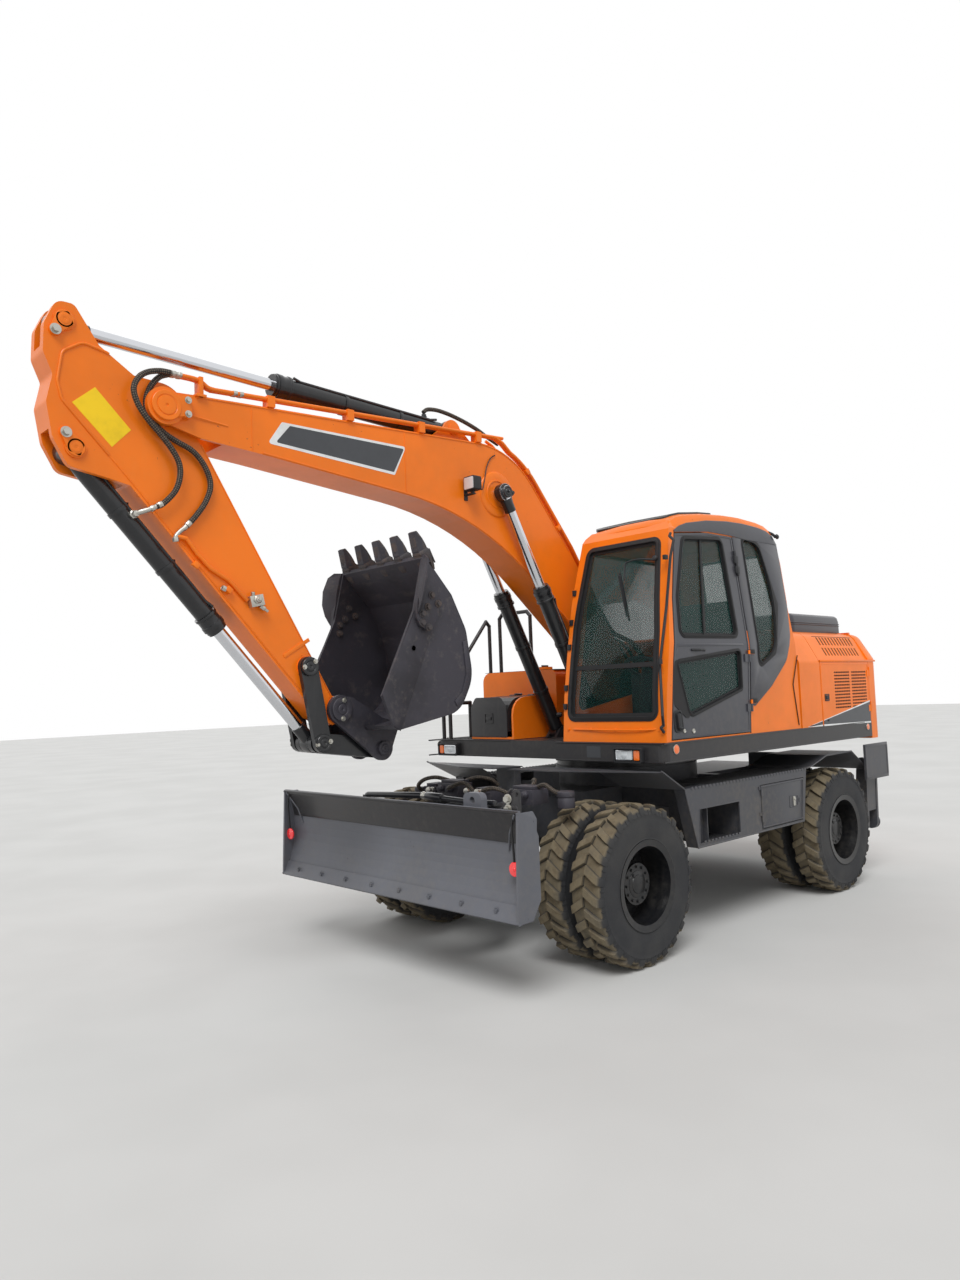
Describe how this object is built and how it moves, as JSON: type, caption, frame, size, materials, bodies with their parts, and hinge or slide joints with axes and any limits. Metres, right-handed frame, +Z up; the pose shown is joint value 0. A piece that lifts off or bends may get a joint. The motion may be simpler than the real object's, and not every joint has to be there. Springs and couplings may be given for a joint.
{
  "type": "wheeled excavator",
  "caption": "Wheeled excavator with a curved boom, an arm and a bucket, a front dozer blade, rear outriggers, twin tyres and a glazed cab, parked with its arm tucked in.",
  "frame": {"origin": "on the ground, in the middle of the length and width", "axes": "+X forward, +Y to the left, +Z up"},
  "size_m": [7.1625, 2.494, 3.925],
  "materials": {
    "orange_paint": "satin",
    "grey_paint": "satin",
    "black_paint": "satin",
    "chrome": "gloss",
    "tyre": "matte",
    "glass": "gloss",
    "cast_metal": "matte",
    "interior": "matte",
    "lamp": "gloss"
  },
  "bodies": {
    "chassis": {"chassis_frame": "grey_paint", "slew_ring": "grey_paint", "front_axle": "grey_paint", "rear_axle": "grey_paint", "driveline": "grey_paint", "side_steps": "grey_paint", "fenders": "grey_paint"},
    "upper": {"upper_frame": "black_paint", "counterweight": "orange_paint", "engine": "cast_metal", "rear_body": "orange_paint", "cab_shell": "orange_paint", "cab_glass": "glass", "cab_interior": "interior", "toolbox": "orange_paint", "tank": "orange_paint", "handrails": "black_paint", "lamps": "lamp"},
    "cab_door": {"cab_door": "grey_paint", "door_glass": "glass"},
    "boom": {"boom": "orange_paint", "boom_lines": "orange_paint"},
    "locker_door": {"locker_door": "grey_paint"},
    "knuckle_left": {"knuckle_left": "grey_paint"},
    "knuckle_right": {"knuckle_right": "grey_paint"},
    "blade": {"blade": "grey_paint"},
    "blade_arms": {"blade_arms": "grey_paint"},
    "blade_links": {"blade_links": "grey_paint"},
    "blade_barrels": {"blade_barrels": "black_paint"},
    "blade_rods": {"blade_rods": "chrome"},
    "outrigger_leg_left": {"outrigger_leg_left": "grey_paint"},
    "outrigger_leg_right": {"outrigger_leg_right": "grey_paint"},
    "outrigger_pad_left": {"outrigger_pad_left": "grey_paint"},
    "outrigger_pad_right": {"outrigger_pad_right": "grey_paint"},
    "outrigger_barrel_left": {"outrigger_barrel_left": "black_paint"},
    "outrigger_barrel_right": {"outrigger_barrel_right": "black_paint"},
    "outrigger_rod_left": {"outrigger_rod_left": "chrome"},
    "outrigger_rod_right": {"outrigger_rod_right": "chrome"},
    "engine_hood": {"engine_hood": "orange_paint"},
    "service_door_left": {"service_door_left": "orange_paint"},
    "service_door_right": {"service_door_right": "orange_paint"},
    "toolbox_lid": {"toolbox_lid": "grey_paint"},
    "boom_barrels": {"boom_barrels": "black_paint"},
    "boom_rods": {"boom_rods": "chrome"},
    "arm": {"arm": "orange_paint"},
    "arm_barrel": {"arm_barrel": "black_paint"},
    "arm_rod": {"arm_rod": "chrome"},
    "bucket_barrel": {"bucket_barrel": "black_paint"},
    "bucket_rod": {"bucket_rod": "chrome"},
    "side_links": {"side_links": "grey_paint"},
    "bucket_link": {"bucket_link": "grey_paint"},
    "bucket": {"bucket": "grey_paint"},
    "wheel_front_left": {"tyres_front_left": "tyre", "rims_front_left": "black_paint"},
    "wheel_front_right": {"tyres_front_right": "tyre", "rims_front_right": "black_paint"},
    "wheel_rear_left": {"tyres_rear_left": "tyre", "rims_rear_left": "black_paint"},
    "wheel_rear_right": {"tyres_rear_right": "tyre", "rims_rear_right": "black_paint"}
  },
  "joints": [
    {"name": "slew", "type": "hinge", "parent": "chassis", "child": "upper", "pos_m": [-1.176, 0, 1.245], "axis": [0, 0, 1], "continuous": true},
    {"name": "steer_left", "type": "hinge", "parent": "chassis", "child": "knuckle_left", "pos_m": [0.249, 0.56, 0.525], "axis": [0, 0, 1], "range_deg": [-28, 28]},
    {"name": "steer_right", "type": "hinge", "parent": "chassis", "child": "knuckle_right", "pos_m": [0.249, -0.56, 0.525], "axis": [0, 0, 1], "range_deg": [-28, 28]},
    {"name": "wheel_front_left", "type": "hinge", "parent": "knuckle_left", "child": "wheel_front_left", "pos_m": [0.249, 0.962, 0.525], "axis": [0, 1, 0], "continuous": true},
    {"name": "wheel_rear_left", "type": "hinge", "parent": "chassis", "child": "wheel_rear_left", "pos_m": [-2.601, 0.962, 0.525], "axis": [0, 1, 0], "continuous": true},
    {"name": "wheel_front_right", "type": "hinge", "parent": "knuckle_right", "child": "wheel_front_right", "pos_m": [0.249, -0.962, 0.525], "axis": [0, 1, 0], "continuous": true},
    {"name": "wheel_rear_right", "type": "hinge", "parent": "chassis", "child": "wheel_rear_right", "pos_m": [-2.601, -0.962, 0.525], "axis": [0, 1, 0], "continuous": true},
    {"name": "boom_lift", "type": "hinge", "parent": "upper", "child": "boom", "pos_m": [-1.046, 0, 1.85], "axis": [0, -1, 0], "range_deg": [-6, 38]},
    {"name": "boom_cylinder_swing", "type": "hinge", "parent": "upper", "child": "boom_barrels", "pos_m": [-0.564, 0, 1.47], "axis": [0, -1, 0], "range_deg": [-5.27, 33.39]},
    {"name": "boom_cylinder_stroke", "type": "slide", "parent": "boom_barrels", "child": "boom_rods", "axis": [0.4717, 0, 0.8818], "range_m": [-0.05638, 0.35705]},
    {"name": "arm_swing", "type": "hinge", "parent": "boom", "child": "arm", "pos_m": [2.968, 0, 3.454], "axis": [0, -1, 0], "range_deg": [0, 110]},
    {"name": "arm_cylinder_swing", "type": "hinge", "parent": "boom", "child": "arm_barrel", "pos_m": [0.783, 0, 3.721], "axis": [0, -1, 0], "range_deg": [0, 0.60228]},
    {"name": "arm_cylinder_stroke", "type": "slide", "parent": "arm_barrel", "child": "arm_rod", "axis": [0.9992, 0, 0.0397], "range_m": [-1.03467, 0]},
    {"name": "bucket_curl", "type": "hinge", "parent": "arm", "child": "bucket", "pos_m": [1.844, 0, 1.746], "axis": [0, -1, 0], "range_deg": [0, 50]},
    {"name": "side_link_swing", "type": "hinge", "parent": "arm", "child": "side_links", "pos_m": [2.071, 0, 2.015], "axis": [0, -1, 0], "range_deg": [0, 30.97]},
    {"name": "bucket_link_swing", "type": "hinge", "parent": "side_links", "child": "bucket_link", "pos_m": [1.983, 0, 1.544], "axis": [0, -1, 0], "range_deg": [-8.37, 0]},
    {"name": "bucket_cylinder_swing", "type": "hinge", "parent": "arm", "child": "bucket_barrel", "pos_m": [3.426, 0, 3.161], "axis": [0, -1, 0], "range_deg": [0, 5.07]},
    {"name": "bucket_cylinder_stroke", "type": "slide", "parent": "bucket_barrel", "child": "bucket_rod", "axis": [-0.6658, 0, -0.7461], "range_m": [-0.1783, 0]},
    {"name": "blade_lower", "type": "hinge", "parent": "chassis", "child": "blade_arms", "pos_m": [0.744, 0, 0.42], "axis": [0, 1, 0], "range_deg": [0, 61]},
    {"name": "blade_level", "type": "hinge", "parent": "blade_arms", "child": "blade", "pos_m": [1.314, 0, 0.64], "axis": [0, 1, 0], "range_deg": [-61.01, 0]},
    {"name": "blade_link_swing", "type": "hinge", "parent": "chassis", "child": "blade_links", "pos_m": [0.744, 0, 0.56], "axis": [0, 1, 0], "range_deg": [0, 61.01]},
    {"name": "blade_cylinder_swing", "type": "hinge", "parent": "chassis", "child": "blade_barrels", "pos_m": [0.729, 0, 0.9], "axis": [0, 1, 0], "range_deg": [0, 25.44]},
    {"name": "blade_cylinder_stroke", "type": "slide", "parent": "blade_barrels", "child": "blade_rods", "axis": [0.7911, 0, -0.6117], "range_m": [0, 0.31363]},
    {"name": "outrigger_left", "type": "hinge", "parent": "chassis", "child": "outrigger_leg_left", "pos_m": [-3.341, 1.11, 0.48], "axis": [-1, 0, 0], "range_deg": [0, 136]},
    {"name": "outrigger_pad_left", "type": "hinge", "parent": "outrigger_leg_left", "child": "outrigger_pad_left", "pos_m": [-3.341, 1.15, 1.05], "axis": [-1, 0, 0], "range_deg": [-46, 0]},
    {"name": "outrigger_cylinder_swing_left", "type": "hinge", "parent": "chassis", "child": "outrigger_barrel_left", "pos_m": [-3.341, 0.4, 0.78], "axis": [-1, 0, 0], "range_deg": [0, 6.52]},
    {"name": "outrigger_cylinder_stroke_left", "type": "slide", "parent": "outrigger_barrel_left", "child": "outrigger_rod_left", "axis": [0, 0.9697, -0.2444], "range_m": [0, 0.32117]},
    {"name": "outrigger_right", "type": "hinge", "parent": "chassis", "child": "outrigger_leg_right", "pos_m": [-3.341, -1.11, 0.48], "axis": [1, 0, 0], "range_deg": [0, 136]},
    {"name": "outrigger_pad_right", "type": "hinge", "parent": "outrigger_leg_right", "child": "outrigger_pad_right", "pos_m": [-3.341, -1.15, 1.05], "axis": [1, 0, 0], "range_deg": [-46, 0]},
    {"name": "outrigger_cylinder_swing_right", "type": "hinge", "parent": "chassis", "child": "outrigger_barrel_right", "pos_m": [-3.341, -0.4, 0.78], "axis": [1, 0, 0], "range_deg": [0, 6.52]},
    {"name": "outrigger_cylinder_stroke_right", "type": "slide", "parent": "outrigger_barrel_right", "child": "outrigger_rod_right", "axis": [0, -0.9697, -0.2444], "range_m": [0, 0.32117]},
    {"name": "cab_door", "type": "hinge", "parent": "upper", "child": "cab_door", "pos_m": [-1.176, 1.238, 2.2], "axis": [0, 0, 1], "range_deg": [0, 95]},
    {"name": "engine_hood", "type": "hinge", "parent": "upper", "child": "engine_hood", "pos_m": [-2.326, 0, 2.28], "axis": [0, 1, 0], "range_deg": [0, 60]},
    {"name": "service_door_left", "type": "hinge", "parent": "upper", "child": "service_door_left", "pos_m": [-3.284, 1.241, 1.7], "axis": [0, 0, 1], "range_deg": [0, 100]},
    {"name": "service_door_right", "type": "hinge", "parent": "upper", "child": "service_door_right", "pos_m": [-3.284, -1.241, 1.7], "axis": [0, 0, -1], "range_deg": [0, 100]},
    {"name": "toolbox_lid", "type": "hinge", "parent": "upper", "child": "toolbox_lid", "pos_m": [-0.606, 0, 1.782], "axis": [0, -1, 0], "range_deg": [0, 80]},
    {"name": "locker_door", "type": "hinge", "parent": "chassis", "child": "locker_door", "pos_m": [-1.2965, 1.207, 0.85], "axis": [0, 0, -1], "range_deg": [0, 100]}
  ],
  "couplings": [
    {"joint": "steer_right", "follows": "steer_left", "ratio": 1},
    {"joint": "boom_cylinder_swing", "follows": "boom_lift", "ratio": 0.87862},
    {"joint": "boom_cylinder_stroke", "follows": "boom_lift", "m_per_rad": 0.5383},
    {"joint": "arm_cylinder_swing", "follows": "arm_swing", "ratio": 0.0054747},
    {"joint": "arm_cylinder_stroke", "follows": "arm_swing", "m_per_rad": -0.53887},
    {"joint": "side_link_swing", "follows": "bucket_curl", "ratio": 0.61942},
    {"joint": "bucket_link_swing", "follows": "bucket_curl", "ratio": -0.16742},
    {"joint": "bucket_cylinder_swing", "follows": "bucket_curl", "ratio": 0.10133},
    {"joint": "bucket_cylinder_stroke", "follows": "bucket_curl", "m_per_rad": -0.20429},
    {"joint": "blade_level", "follows": "blade_lower", "ratio": -1},
    {"joint": "blade_link_swing", "follows": "blade_lower", "ratio": 1},
    {"joint": "blade_cylinder_swing", "follows": "blade_lower", "ratio": 0.417},
    {"joint": "blade_cylinder_stroke", "follows": "blade_lower", "m_per_rad": 0.29455},
    {"joint": "outrigger_pad_left", "follows": "outrigger_left", "ratio": -0.33824},
    {"joint": "outrigger_cylinder_swing_left", "follows": "outrigger_left", "ratio": 0.047901},
    {"joint": "outrigger_cylinder_stroke_left", "follows": "outrigger_left", "m_per_rad": 0.13529},
    {"joint": "outrigger_pad_right", "follows": "outrigger_right", "ratio": -0.33824},
    {"joint": "outrigger_cylinder_swing_right", "follows": "outrigger_right", "ratio": 0.047901},
    {"joint": "outrigger_cylinder_stroke_right", "follows": "outrigger_right", "m_per_rad": 0.13529}
  ]
}
